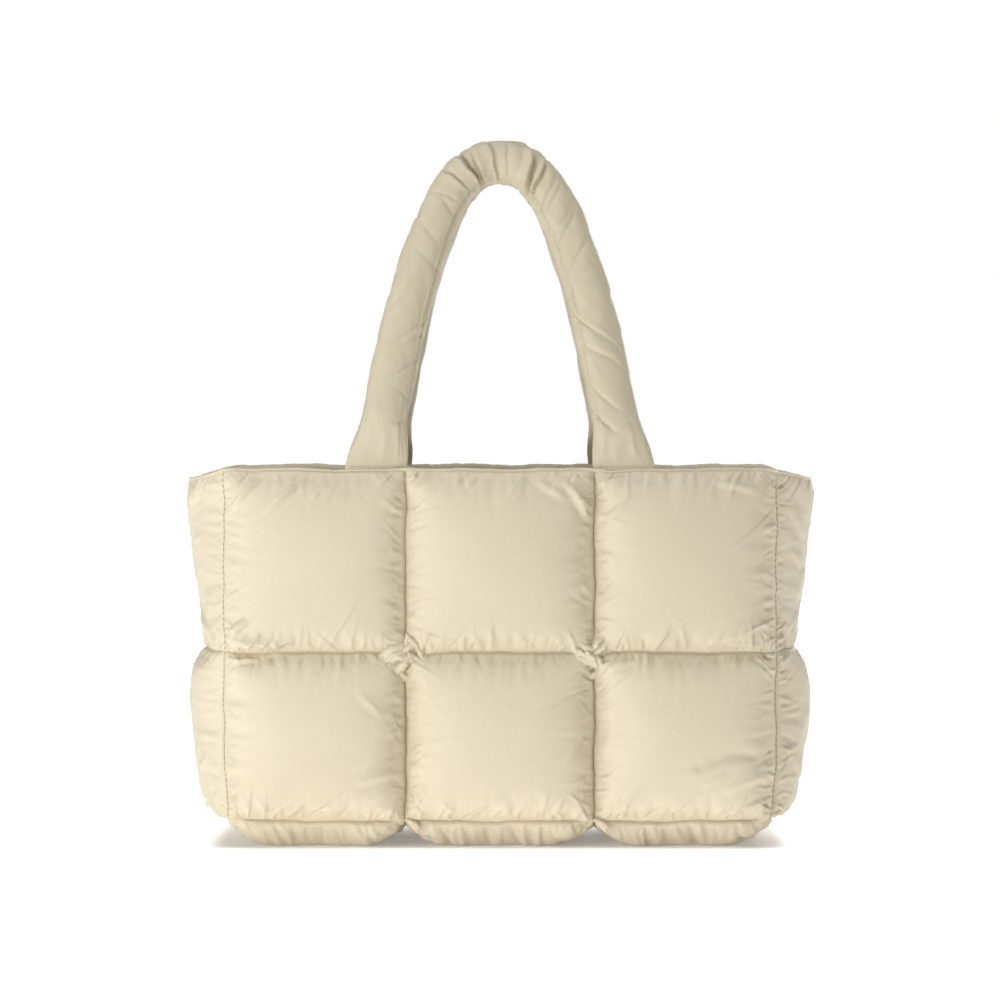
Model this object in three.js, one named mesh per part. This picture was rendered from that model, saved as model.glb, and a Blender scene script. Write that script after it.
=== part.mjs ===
// A quilted puffer tote bag, standing open on the floor. Five padded panels are sewn edge to edge
// into a box with no top: a front and a back of three by two cells, two side gussets of two cells
// and a base of three. A stuffed handle rises from the rim of the front and of the back.
// Millimetres, +Z up, +X to the right of someone facing the front, the front towards -Y, and the
// origin on the floor under the middle of the bag.
import * as THREE from "three";

// The box that the seams draw
const frontWidth = 380; // side seam to side seam
const middleColumnWidth = 130;
const bagDepth = 130; // front seam to back seam
const rimHeight = 260;
const midSeamHeight = 135;
const baseSeamHeight = 18;

// Walls
const seamThickness = 4; // shell, wadding and lining pressed flat where they are stitched
const seamClearance = 0.3; // between neighbouring pieces
const liningPuff = 4; // how far a cell swells into the bag
const faceLowerPuff = 25; // how far a cell swells outwards
const faceUpperPuff = 21;
const gussetLowerPuff = 19;
const gussetUpperPuff = 5;

// How the filled bag settles out of that box
const gussetRimFlare = 28; // the rim of a gusset, outwards in its middle
const gussetMidFlare = 13.5; // its middle seam, likewise
const faceRimFlare = 6;
const gussetRimDip = 8; // the rim of a gusset, downwards in its middle
const baseSeamSag = 7; // the base's cross seams, below the base seam in their middle
const baseEndRamp = 32; // how far from a cross seam a base cell takes to reach the floor
const baseSideRamp = 20; // and from the front or back seam
const floorPress = 0.5; // how much deeper the flat of a base cell would hang without the floor
const baseRoll = 4; // how far the front and back of a base cell roll outwards on the way down
const cornerPull = 3; // the lower corners, inwards and up
const cornerReach = 42;

// Gathers along the seams, and the tufts where a column seam crosses the middle seam
const gathersPerCell = 5;
const gatherDepth = 1.1;
const gatherReach = 6; // distance from the seam at which they are deepest
const tuftHeight = 7;
const tuftRadius = 9;

// Handles
const handleSpan = 171; // between the middles of its two feet
const handleRise = 215; // the top of its centre line above the rim
const handleArch = 2.48; // 2 would be a parabola, and more is squarer
const handleTopSpacing = 33; // between the two handles' centre lines at the top
const handleFootWidth = 43;
const handleFootThickness = 7;
const handleMidWidth = 32;
const handleTopWidth = 29;
const handleThickness = 27;
const handleFootRise = 40; // length over which the flat foot swells to the full tube

// Rows of cells from the bottom up. sag 1 puffs a cell most in its middle, and a smaller sag
// moves the fullest part down.
const FACE_ROWS = [
  { puff: faceLowerPuff, sag: 0.85, top: midSeamHeight },
  { puff: faceUpperPuff, sag: 0.9, top: rimHeight },
];
const GUSSET_ROWS = [
  { puff: gussetLowerPuff, sag: 0.6, top: midSeamHeight },
  { puff: gussetUpperPuff, sag: 1, top: rimHeight },
];

// Creases across a handle: share of its length from the left foot, depth, and half width
const HANDLE_CREASES = [
  { at: 0.405, depth: 2.2, spread: 4 },
  { at: 0.432, depth: 3.4, spread: 4 },
  { at: 0.475, depth: 2.0, spread: 5 },
  { at: 0.525, depth: 1.6, spread: 5 },
  { at: 0.567, depth: 3.6, spread: 4 },
  { at: 0.592, depth: 2.4, spread: 4 },
];

const FABRIC = { color: 0xddd2b0, roughness: 0.55, metalness: 0 };

const halfWidth = frontWidth / 2;
const halfDepth = bagDepth / 2;
const edgeInset = seamClearance / Math.SQRT2; // each side of a mitred seam stands back by this

// 0 below the low end, 1 above the high end, and smooth between
const ease = THREE.MathUtils.smoothstep;

// Moves a point of the straight-sided box to its place on the filled bag. Neighbouring panels go
// through the same function, so their seams stay together.
function settle(point) {
  const { x, y, z } = point;
  const nearSide = Math.min(1, (x / halfWidth) ** 2);
  const nearFace = Math.min(1, (y / halfDepth) ** 2);
  const lower = ease(z, baseSeamHeight, midSeamHeight);
  const upper = Math.max(0, (z - midSeamHeight) / (rimHeight - midSeamHeight));

  const gussetOut = gussetMidFlare * lower + (gussetRimFlare - gussetMidFlare) * upper;
  const faceOut = faceRimFlare * upper;
  const below = THREE.MathUtils.clamp(1 - z / baseSeamHeight, 0, 1);
  const rollOut = baseRoll * below * (2 - below) * nearFace;

  const corner = new THREE.Vector3(
    Math.abs(x) - halfWidth,
    Math.abs(y) - halfDepth,
    z - baseSeamHeight,
  );
  const pull = cornerPull * (1 - ease(corner.length(), 0, cornerReach));

  return new THREE.Vector3(
    x + Math.sign(x) * (gussetOut * (1 - nearFace) * nearSide - pull),
    y + Math.sign(y) * (faceOut * (1 - nearSide) * nearFace + rollOut - pull / 3),
    z -
      gussetRimDip * upper * (1 - nearFace) * nearSide +
      (pull / 3) * Math.min(1, z / baseSeamHeight),
  );
}

// Section of a puffed cell across its width: 0 at both seams, 1 in the middle, with steep sides
const crown = (share) => (1 - Math.abs(2 * share - 1) ** 2.6) ** 0.6;

// Section of a base cell: it curves down from a seam over the length of a ramp, then lies flat.
// A higher power turns down sooner.
const baseCrown = (fromSeam, ramp, power) => 1 - Math.max(0, 1 - fromSeam / ramp) ** power;

// A gather rises from nothing on the seam to its full depth at gatherReach, and dies out again
const gatherFade = (fromSeam) => (fromSeam / gatherReach) * Math.exp(1 - fromSeam / gatherReach);

const gatherWave = (share) => Math.cos(2 * Math.PI * gathersPerCell * share);

// Finds which cell a coordinate is in, and how far across it, as a share
function locate(value, lines) {
  let index = 0;
  while (index < lines.length - 2 && value > lines[index + 1]) index += 1;
  const size = lines[index + 1] - lines[index];
  const share = THREE.MathUtils.clamp((value - lines[index]) / size, 0, 1);
  return { index, share, size, fromSeam: Math.min(share, 1 - share) * size };
}

// How far the outer side of a panel stands out at (u, v), with its gathers and tufts
function cellHeight(u, v, uLines, rows, vLines) {
  const column = locate(u, uLines);
  const row = locate(v, vLines);
  const { puff, sag } = rows[row.index];
  let height = puff * crown(column.share) * crown(row.share ** sag);
  height += gatherDepth * gatherWave(column.share) * gatherFade(row.fromSeam) * crown(column.share);
  height += gatherDepth * gatherWave(row.share) * gatherFade(column.fromSeam) * crown(row.share);
  for (const crossing of uLines.slice(1, -1)) {
    const away = Math.hypot(u - crossing, v - midSeamHeight) / tuftRadius;
    height += tuftHeight * Math.exp(-away * away);
  }
  return height;
}

// How far the inner side of a panel stands in at (u, v). It leaves the seams slowly, so that two
// linings stay apart in a corner.
function liningHeight(u, v, uLines, vLines) {
  const across = Math.sin(Math.PI * locate(u, uLines).share);
  const along = Math.sin(Math.PI * locate(v, vLines).share);
  return liningPuff * (across * along) ** 2;
}

// Sample places over a row of cells: even steps, and a few more close to each seam
function samples(lines, steps, seamShares) {
  const even = Array.from({ length: steps - 1 }, (_, i) => (i + 1) / steps);
  const ends = seamShares.map((share) => 1 - share).reverse();
  const shares = [0, ...seamShares, ...even, ...ends];
  const found = [];
  for (let cell = 0; cell + 1 < lines.length; cell += 1) {
    const size = lines[cell + 1] - lines[cell];
    for (const share of shares) found.push(lines[cell] + size * share);
  }
  found.push(lines.at(-1));
  return found;
}

// Pulls the two ends of a row of sample places inwards, and leaves the rest where it is
function inset(places, low, high) {
  const first = places[0] + low;
  const last = places.at(-1) - high;
  return places.map((place) => THREE.MathUtils.clamp(place, first, last));
}

// The border of a grid of points, once round, as vertex numbers
function borderOf(columns, rows, start) {
  const at = (i, j) => start + j * columns + i;
  const border = [];
  for (let i = 0; i < columns - 1; i += 1) border.push(at(i, 0));
  for (let j = 0; j < rows - 1; j += 1) border.push(at(columns - 1, j));
  for (let i = columns - 1; i > 0; i -= 1) border.push(at(i, rows - 1));
  for (let j = rows - 1; j > 0; j -= 1) border.push(at(0, j));
  return border;
}

// For each of a side's four edges, once round, the share of the edge covered at each sample
function edgeShares(side) {
  const shares = (places) =>
    places.map((place) => (place - places[0]) / (places.at(-1) - places[0]));
  const back = (places) => shares([...places].reverse());
  return [shares(side.u), shares(side.v), back(side.u), back(side.v)];
}

// A closed panel from its outer and inner sides. A side has its sample places along u and v, and
// point(u, v) in space. The two grids may differ: their borders are joined corner to corner.
function panelGeometry(outer, inner) {
  const positions = [];
  const faces = [];
  for (const side of [outer, inner]) {
    side.start = positions.length / 3;
    for (const v of side.v) for (const u of side.u) positions.push(...side.point(u, v).toArray());
    for (let j = 0; j + 1 < side.v.length; j += 1) {
      for (let i = 0; i + 1 < side.u.length; i += 1) {
        const a = side.start + j * side.u.length + i;
        const c = a + side.u.length;
        const quad = side === outer ? [a, a + 1, c + 1, a, c + 1, c] : [a, c + 1, a + 1, a, c, c + 1];
        faces.push(...quad);
      }
    }
  }
  // Zips the two borders edge by edge: each outer segment is joined to the inner point nearest to
  // it, so neighbouring panels get matching strips whichever way round they are zipped.
  const rings = [outer, inner].map((side) => borderOf(side.u.length, side.v.length, side.start));
  const [outerEdges, innerEdges] = [outer, inner].map(edgeShares);
  let [a, b] = [0, 0];
  for (let edge = 0; edge < 4; edge += 1) {
    const [near, far] = [outerEdges[edge], innerEdges[edge]];
    let [i, j] = [0, 0];
    while (i + 1 < near.length || j + 1 < far.length) {
      const here = [rings[0][(a + i) % rings[0].length], rings[1][(b + j) % rings[1].length]];
      const stepOuter = i + 1 < near.length ? near[i] + near[i + 1] : Infinity;
      const stepInner = j + 1 < far.length ? far[j] + far[j + 1] : Infinity;
      if (stepOuter < stepInner) {
        i += 1;
        faces.push(here[0], here[1], rings[0][(a + i) % rings[0].length]);
      } else {
        j += 1;
        faces.push(here[0], here[1], rings[1][(b + j) % rings[1].length]);
      }
    }
    a += near.length - 1;
    b += far.length - 1;
  }
  const geometry = new THREE.BufferGeometry();
  geometry.setAttribute("position", new THREE.Float32BufferAttribute(positions, 3));
  geometry.setIndex(faces);
  geometry.computeVertexNormals();
  return geometry;
}

const columnLines = [-halfWidth, -middleColumnWidth / 2, middleColumnWidth / 2, halfWidth];
const depthLines = [-halfDepth, halfDepth];
const rowLines = [baseSeamHeight, ...FACE_ROWS.map((row) => row.top)];

const outerSteps = 2 * gathersPerCell;
const liningSteps = gathersPerCell;
const outerPlaces = (lines) => samples(lines, outerSteps, [0.02, 0.05]);
const liningPlaces = (lines) => samples(lines, liningSteps, []);

// The two sides of an upright wall. place(u, v, out) gives a point of the straight box, u along
// the wall, v its height and out the distance outwards.
function wallSides(lines, rows, place) {
  const height = (u, v) => cellHeight(u, v, lines, rows, rowLines);
  const far = edgeInset + seamThickness;
  return [
    {
      u: inset(outerPlaces(lines), edgeInset, edgeInset),
      v: inset(outerPlaces(rowLines), edgeInset, 0),
      point: (u, v) => settle(place(u, v, height(u, v))),
    },
    {
      u: inset(liningPlaces(lines), far, far),
      v: inset(liningPlaces(rowLines), far, 0),
      point: (u, v) => settle(place(u, v, -seamThickness - liningHeight(u, v, lines, rowLines))),
    },
  ];
}

function facePanel() {
  const place = (u, v, out) => new THREE.Vector3(u, -halfDepth - out, v);
  return panelGeometry(...wallSides(columnLines, FACE_ROWS, place));
}

function gussetPanel() {
  const place = (u, v, out) => new THREE.Vector3(halfWidth + out, u, v);
  return panelGeometry(...wallSides(depthLines, GUSSET_ROWS, place));
}

// The base: its cells hang from the base seam and are pressed flat by the floor.
function basePanel() {
  const outerPoint = (u, v) => {
    const column = locate(u, columnLines);
    const row = locate(v, depthLines);
    const lengthwise = baseCrown(column.fromSeam, baseEndRamp, 2);
    const fromEnd = ease(halfWidth - Math.abs(u), 0, baseEndRamp);
    const sag = baseSeamSag * (1 - (v / halfDepth) ** 2) * fromEnd * (1 - lengthwise);
    const sideways = baseCrown(row.fromSeam, baseSideRamp, 3);
    const swell = (baseSeamHeight + floorPress) * lengthwise * sideways;
    const wave = gatherDepth * gatherWave(column.share) * gatherFade(row.fromSeam);
    const z = baseSeamHeight - swell - sag - wave * lengthwise;
    return settle(new THREE.Vector3(u, v, Math.max(0, z)));
  };
  const innerPoint = (u, v) => {
    const z = baseSeamHeight + seamThickness + liningHeight(u, v, columnLines, depthLines);
    return settle(new THREE.Vector3(u, v, z));
  };
  const far = edgeInset + seamThickness;
  const reversed = (places) => [...places].reverse();
  return panelGeometry(
    {
      u: inset(outerPlaces(columnLines), edgeInset, edgeInset),
      v: reversed(inset(outerPlaces(depthLines), edgeInset, edgeInset)),
      point: outerPoint,
    },
    {
      u: inset(liningPlaces(columnLines), far, far),
      v: reversed(inset(liningPlaces(depthLines), far, far)),
      point: innerPoint,
    },
  );
}

// The centre line of the front handle, from its left foot over the top to its right foot
class HandleLine extends THREE.Curve {
  constructor(foot) {
    super();
    this.foot = foot;
  }
  getPoint(t, target = new THREE.Vector3()) {
    const share = 2 * t - 1;
    const rise = 1 - Math.abs(share) ** handleArch;
    const lean = (-handleTopSpacing / 2 - this.foot.y) * rise ** 1.3;
    const x = (share * handleSpan) / 2;
    return target.set(x, this.foot.y + lean, this.foot.z + handleRise * rise);
  }
}

// Width and thickness of the handle's section at a distance along it
function handleSection(along, length) {
  const fromFoot = Math.min(along, length - along);
  const swell = ease(fromFoot, 0, handleFootRise);
  const towardsTop = ease(fromFoot, handleFootRise, length / 2);
  const tube = THREE.MathUtils.lerp(handleMidWidth, handleTopWidth, towardsTop);
  let width = THREE.MathUtils.lerp(handleFootWidth, tube, swell);
  let thickness = THREE.MathUtils.lerp(handleFootThickness, handleThickness, swell);
  for (const { at, depth, spread } of HANDLE_CREASES) {
    const away = (along - at * length) / spread;
    width -= depth * Math.exp(-away * away);
    thickness -= depth * Math.exp(-away * away);
  }
  return { width, thickness };
}

function handleGeometry() {
  const sides = 12;
  const evenSteps = 32;
  const seat = new THREE.Vector3(handleSpan / 2, -halfDepth + seamThickness / 2, rimHeight);
  const foot = settle(seat);
  foot.z += seamClearance;
  const line = new HandleLine(foot);
  line.arcLengthDivisions = 2000;
  const length = line.getLength();

  const shares = [];
  for (let i = 0; i <= evenSteps; i += 1) shares.push(i / evenSteps);
  for (const { at, spread } of HANDLE_CREASES) {
    shares.push(at - spread / length, at, at + spread / length);
  }
  shares.sort((p, q) => p - q);
  const spaced = shares.filter((share, i) => i === 0 || share - shares[i - 1] > 1.5 / length);

  const positions = [];
  const faces = [];
  for (const share of spaced) {
    const centre = line.getPointAt(share);
    const fromFoot = Math.min(share, 1 - share) * length;
    // A ring is level at the foot, and square to the centre line above it.
    const ahead = line.getTangentAt(share);
    const level = new THREE.Vector3(0, 0, Math.sign(0.5 - share) || 1);
    ahead.lerp(level, 1 - ease(fromFoot, 0, handleFootRise)).normalize();
    const across = new THREE.Vector3(0, 1, 0).cross(ahead).normalize();
    const outward = ahead.clone().cross(across).normalize();
    const { width, thickness } = handleSection(share * length, length);
    for (let i = 0; i < sides; i += 1) {
      const angle = (2 * Math.PI * i) / sides;
      const point = centre
        .clone()
        .addScaledVector(across, (width / 2) * Math.cos(angle))
        .addScaledVector(outward, (thickness / 2) * Math.sin(angle));
      positions.push(...point.toArray());
    }
  }
  for (let ring = 0; ring + 1 < spaced.length; ring += 1) {
    for (let i = 0; i < sides; i += 1) {
      const a = ring * sides + i;
      const b = ring * sides + ((i + 1) % sides);
      faces.push(a, b, b + sides, a, b + sides, a + sides);
    }
  }
  const last = (spaced.length - 1) * sides;
  for (let i = 1; i + 1 < sides; i += 1) {
    faces.push(0, i + 1, i);
    faces.push(last, last + i, last + i + 1);
  }
  const geometry = new THREE.BufferGeometry();
  geometry.setAttribute("position", new THREE.Float32BufferAttribute(positions, 3));
  geometry.setIndex(faces);
  geometry.computeVertexNormals();
  return geometry;
}

const bag = new THREE.Group();

function addPiece(name, geometry, turn = 0) {
  const mesh = new THREE.Mesh(geometry, new THREE.MeshStandardMaterial(FABRIC));
  mesh.name = name;
  mesh.rotation.z = turn;
  bag.add(mesh);
}

addPiece("front_panel", facePanel());
addPiece("back_panel", facePanel(), Math.PI);
addPiece("right_gusset", gussetPanel());
addPiece("left_gusset", gussetPanel(), Math.PI);
addPiece("base_panel", basePanel());
addPiece("front_handle", handleGeometry());
addPiece("back_handle", handleGeometry(), Math.PI);

export default bag;
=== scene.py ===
import bpy
import math
import numpy as np
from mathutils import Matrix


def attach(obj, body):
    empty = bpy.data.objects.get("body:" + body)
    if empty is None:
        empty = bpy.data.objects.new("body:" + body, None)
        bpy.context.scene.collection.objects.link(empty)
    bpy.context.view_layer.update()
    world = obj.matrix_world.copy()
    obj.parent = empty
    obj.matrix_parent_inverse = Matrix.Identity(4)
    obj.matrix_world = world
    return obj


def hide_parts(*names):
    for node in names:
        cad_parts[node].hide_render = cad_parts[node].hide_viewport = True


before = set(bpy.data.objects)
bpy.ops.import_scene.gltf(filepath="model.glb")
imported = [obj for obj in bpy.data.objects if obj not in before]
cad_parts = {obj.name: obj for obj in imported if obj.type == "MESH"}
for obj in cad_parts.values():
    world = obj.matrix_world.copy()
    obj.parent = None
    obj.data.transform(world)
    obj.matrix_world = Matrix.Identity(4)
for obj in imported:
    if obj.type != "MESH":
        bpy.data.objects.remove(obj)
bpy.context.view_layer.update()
scene = bpy.context.scene
print("loaded the frame:", sorted(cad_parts))

# The seams of the bag as the solids have them, in metres
bagSize = {
    "halfWidth": 0.190,
    "halfDepth": 0.065,
    "halfColumn": 0.065,
    "rim": 0.260,
    "midSeam": 0.135,
    "baseSeam": 0.018,
    "wall": 0.004,
}

# How the filled bag settles out of its straight box
settling = {
    "rimFlare": 0.028,
    "midFlare": 0.0135,
    "faceFlare": 0.006,
    "rimDip": 0.008,
    "roll": 0.004,
    "cornerPull": 0.003,
    "cornerReach": 0.042,
    "wobble": 0.0008,  # how unevenly the seams are sewn
    "fineWobble": 0.35,  # share of that in short waves
}

columnLines = [-bagSize["halfWidth"], -bagSize["halfColumn"], bagSize["halfColumn"], bagSize["halfWidth"]]
depthLines = [-bagSize["halfDepth"], bagSize["halfDepth"]]
rowLines = [bagSize["baseSeam"], bagSize["midSeam"], bagSize["rim"]]

# The photograph's camera, a little above the rim
cameraSetup = {
    "distance": 2.600,  # from the front seams
    "height": 0.320,
    "aimHeight": 0.2395,
    "lens": 136.0,
    "sensor": 36.0,
}


def addObject(name, data):
    thing = bpy.data.objects.new(name, data)
    scene.collection.objects.link(thing)
    return thing


def makeCamera():
    camera = bpy.data.cameras.new("photo_camera")
    camera.lens = cameraSetup["lens"]
    camera.sensor_width = cameraSetup["sensor"]
    holder = addObject("photo_camera", camera)
    drop = cameraSetup["height"] - cameraSetup["aimHeight"]
    holder.location = (0, -bagSize["halfDepth"] - cameraSetup["distance"], cameraSetup["height"])
    holder.rotation_euler = (math.radians(90) - math.atan(drop / cameraSetup["distance"]), 0, 0)
    scene.camera = holder


makeCamera()


def ease(value, low, high):
    t = np.clip((value - low) / (high - low), 0, 1)
    return t * t * (3 - 2 * t)


def waver(a, b, seed):  # smooth irregular noise between about -1 and 1
    total = 0
    for k, pitch in enumerate((1.0, 1.73, 2.61, 3.37)):
        turn = seed * 2.399 + k * 1.13
        bent = 1.6 * np.cos(b * pitch * 0.83 + turn * 1.7)
        total = total + np.sin(a * pitch + turn + bent) * (0.42 - 0.08 * k)
    return total


def settle(points):  # the warp of the solids, with finer wobble; neighbours share it and stay together
    x, y, z = points[..., 0], points[..., 1], points[..., 2]
    nearSide = np.minimum(1, (x / bagSize["halfWidth"]) ** 2)
    nearFace = np.minimum(1, (y / bagSize["halfDepth"]) ** 2)
    lower = ease(z, bagSize["baseSeam"], bagSize["midSeam"])
    upper = np.clip((z - bagSize["midSeam"]) / (bagSize["rim"] - bagSize["midSeam"]), 0, None)
    gussetOut = settling["midFlare"] * lower + (settling["rimFlare"] - settling["midFlare"]) * upper
    below = np.clip(1 - z / bagSize["baseSeam"], 0, 1)
    rollOut = settling["roll"] * below * (2 - below) * nearFace
    away = np.sqrt(
        (np.abs(x) - bagSize["halfWidth"]) ** 2
        + (np.abs(y) - bagSize["halfDepth"]) ** 2
        + (z - bagSize["baseSeam"]) ** 2
    )
    pull = settling["cornerPull"] * (1 - ease(away, 0, settling["cornerReach"]))
    fine = settling["fineWobble"]
    sway = waver(z * 75, x * 40 + y * 60, 1) + fine * waver(z * 330, x * 90 + y * 90, 2)
    lift = waver(x * 60, z * 30 + y * 70, 4) + fine * waver(x * 330, z * 90 + y * 90, 5)
    sway = settling["wobble"] * sway
    lift = settling["wobble"] * lift * np.clip(z / bagSize["baseSeam"], 0, 1)
    return np.stack([
        x + np.sign(x) * (gussetOut * (1 - nearFace) * nearSide - pull) + sway,
        y + np.sign(y) * (settling["faceFlare"] * upper * (1 - nearSide) * nearFace + rollOut - pull / 3),
        z - settling["rimDip"] * upper * (1 - nearFace) * nearSide
        + pull / 3 * np.minimum(1, z / bagSize["baseSeam"]) + lift,
    ], -1)


crownShape = {"breadth": 2.3, "steepness": 0.46}


def crown(share):  # section of a puffed cell: upright at the seams, broad in the middle
    return (1 - np.abs(2 * share - 1) ** crownShape["breadth"]) ** crownShape["steepness"]


def places(lines, step, closer=0.0):  # spots between the lines, closer to each other beside a line
    spots = []
    for low, high in zip(lines, lines[1:]):
        count = max(4, round((high - low) / step))
        share = np.arange(count) / count
        share = share - closer * np.sin(2 * math.pi * share) / (2 * math.pi)
        spots += list(low + (high - low) * share)
    return np.array(spots + [lines[-1]])


def placesOn(first, second, step, closer=0.0):
    return places(first, step, closer), places(second, step, closer)


def locate(values, lines):
    lines = np.array(lines)
    index = np.clip(np.searchsorted(lines, values + 1e-9, side="right") - 1, 0, len(lines) - 2)
    size = lines[index + 1] - lines[index]
    share = np.clip((values - lines[index]) / size, 0, 1)
    return index, share, np.minimum(share, 1 - share) * size


def onLines(values, lines):
    return np.isclose(values[..., None], np.array(lines), atol=1e-7).any(-1)


def relaxed(grid, pinned, rounds):  # evens a grid out, and leaves its pinned points alone
    for _ in range(rounds):
        mean = grid.copy()
        mean[1:-1, 1:-1] = (grid[:-2, 1:-1] + grid[2:, 1:-1] + grid[1:-1, :-2] + grid[1:-1, 2:]) / 4
        mean[pinned] = grid[pinned]
        grid = mean
    return grid


def resampled(field, oldU, oldV, newU, newV):  # smooth values between the points of a grid
    for axis, old, new in ((0, oldV, newV), (1, oldU, newU)):
        at = np.interp(new, old, np.arange(len(old)))
        first = np.clip(at.astype(int), 0, len(old) - 2)
        t = (at - first).reshape([-1 if k == axis else 1 for k in range(field.ndim)])
        p0, p1, p2, p3 = [np.take(field, np.clip(first + k, 0, len(old) - 1), axis) for k in (-1, 0, 1, 2)]
        field = p1 + 0.5 * t * (p2 - p0 + t * (2 * p0 - 5 * p1 + 4 * p2 - p3 + t * (3 * (p1 - p2) + p3 - p0)))
    return field


def normalsOf(grid):
    along = np.gradient(grid, axis=1)
    up = np.gradient(grid, axis=0)
    normals = np.cross(along, up)
    return normals / np.maximum(np.linalg.norm(normals, axis=-1, keepdims=True), 1e-12)


def wrapped(angle):  # the same angle between half a turn back and half a turn on
    return (angle + math.pi) % (2 * math.pi) - math.pi


def unit(vectors):
    return vectors / np.linalg.norm(vectors, axis=-1, keepdims=True)


def runAlong(line):  # how far each point is along a line
    return np.concatenate([[0], np.cumsum(np.linalg.norm(np.diff(line, axis=0), axis=1))])


def pointsAt(spots, run, line):
    return np.stack([np.interp(spots, run, line[:, k]) for k in range(3)], -1)


def meshFrom(name, parts, material):  # parts: (points, faces) pairs that become one mesh
    points, faces, start = [], [], 0
    for spots, polygons in parts:
        points.append(np.asarray(spots).reshape(-1, 3))
        faces += [tuple(int(i) + start for i in polygon) for polygon in polygons]
        start += len(points[-1])
    mesh = bpy.data.meshes.new(name)
    mesh.from_pydata(np.concatenate(points).tolist(), [], faces)
    mesh.update()
    mesh.shade_smooth()
    mesh.materials.append(material)
    piece = addObject(name, mesh)
    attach(piece, "root")
    return piece


def gridFaces(rows, columns, closed=False, flip=False):
    j, i = np.mgrid[0:rows - 1, 0:columns if closed else columns - 1]
    right = (i + 1) % columns
    low, high = j * columns, (j + 1) * columns
    quads = np.stack([low + i, low + right, high + right, high + i], -1).reshape(-1, 4)
    return (quads[:, ::-1] if flip else quads).tolist()


def tubeFaces(rings, sides):  # a round skin with both ends shut
    ends = [list(range(sides))[::-1], [(rings - 1) * sides + i for i in range(sides)]]
    return gridFaces(rings, sides, closed=True) + ends


# The shell is cut larger than its frame of seams, and blown out, so that it gathers there. Only the
# short relief of that is kept: the broad puffs, the single folds and the knots are modelled.
clothSettings = {
    "frames": 14,
    "growth": 0.065,  # how much larger the fabric is cut than the frame it is sewn to
    "push": 19.0,
    "bending": 0.03,
    "tension": 15.0,
    "quality": 5,
    "jitter": 0.00015,
    "evenRounds": 34,  # evened out this often, only the broad shape is left, which is taken away
    "softRounds": 1,
    "longest": 0.006,  # most that a fold may move a point
    "reach": 0.020,  # how far from a seam the folds stay strong
    "middle": 0.14,  # what is left of them in the middle of a cell
}


def clothDetail(name, grid, pinned, fromSeam, push, seed):
    rows, columns = grid.shape[:2]
    random = np.random.default_rng(seed)
    start = grid + random.normal(0, clothSettings["jitter"], grid.shape) * ~pinned[..., None]
    mesh = bpy.data.meshes.new(name)
    mesh.from_pydata(start.reshape(-1, 3).tolist(), [], gridFaces(rows, columns))
    cloth = addObject(name, mesh)
    sewn = cloth.vertex_groups.new(name="sewn")
    sewn.add(np.nonzero(pinned.ravel())[0].tolist(), 1.0, "REPLACE")
    modifier = cloth.modifiers.new("cloth", "CLOTH")
    settings = modifier.settings
    settings.quality = clothSettings["quality"]
    settings.tension_stiffness = settings.compression_stiffness = clothSettings["tension"]
    settings.bending_stiffness = clothSettings["bending"]
    settings.shrink_min = -clothSettings["growth"]
    settings.vertex_group_mass = "sewn"
    modifier.collision_settings.use_collision = False
    modifier.point_cache.frame_start = 1
    modifier.point_cache.frame_end = clothSettings["frames"]
    oldGravity = scene.gravity.copy()
    scene.gravity = [part * clothSettings["push"] for part in push]
    for number in range(1, clothSettings["frames"] + 1):
        scene.frame_set(number)
    settled = cloth.evaluated_get(bpy.context.evaluated_depsgraph_get())
    flat = np.empty(rows * columns * 3, np.float32)
    settled.data.vertices.foreach_get("co", flat)
    scene.gravity = oldGravity
    bpy.data.objects.remove(cloth)
    scene.frame_set(1)
    change = flat.reshape(grid.shape).astype(float) - grid
    broad = relaxed(change, pinned, clothSettings["evenRounds"])
    change = relaxed(change, pinned, clothSettings["softRounds"]) - broad
    strong = np.exp(-(fromSeam / clothSettings["reach"]) ** 2)
    change = change * (clothSettings["middle"] + (1 - clothSettings["middle"]) * strong)[..., None]
    length = np.linalg.norm(change, axis=-1, keepdims=True)
    return change * np.minimum(1, clothSettings["longest"] / np.maximum(length, 1e-9))


def fillIn(node, values):
    for field, value in values.items():
        node.inputs[field].default_value = value


def remapped(tree, source, low, high, near=0.0, far=1.0):
    remap = tree.nodes.new("ShaderNodeMapRange")
    fillIn(remap, {"From Min": near, "From Max": far, "To Min": low, "To Max": high})
    tree.links.new(source, remap.inputs["Value"])
    return remap.outputs["Result"]


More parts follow.
